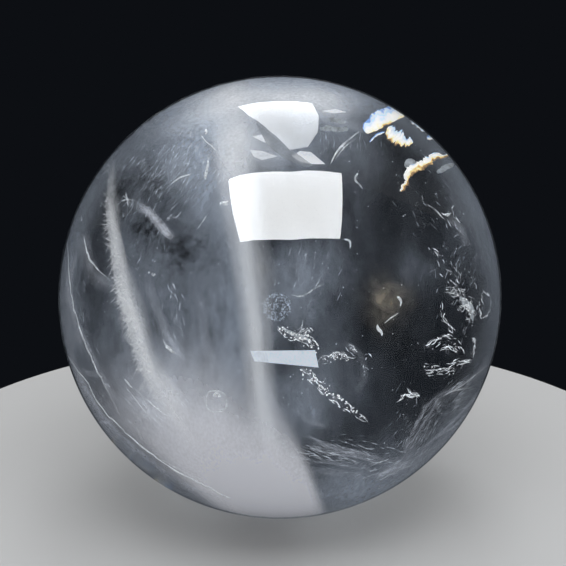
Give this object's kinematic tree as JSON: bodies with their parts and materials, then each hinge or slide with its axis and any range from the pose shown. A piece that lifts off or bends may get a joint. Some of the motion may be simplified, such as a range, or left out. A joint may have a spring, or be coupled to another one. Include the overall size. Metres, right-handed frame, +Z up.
{
  "type": "quartz sphere",
  "caption": "Polished clear quartz ball with milky veils, healed cracks and rainbow flashes inside, for display in a ring stand.",
  "frame": {"origin": "centre of the ball", "axes": "+Z up through the ball's top, away from the ring stand that it sits in; -Y towards the viewer, so that the main milky veil stands left of centre; +X to the viewer's right"},
  "size_m": [0.075, 0.075, 0.075],
  "materials": {
    "quartz": "polished"
  },
  "bodies": {
    "root": {"quartz_sphere": "quartz"}
  },
  "joints": []
}
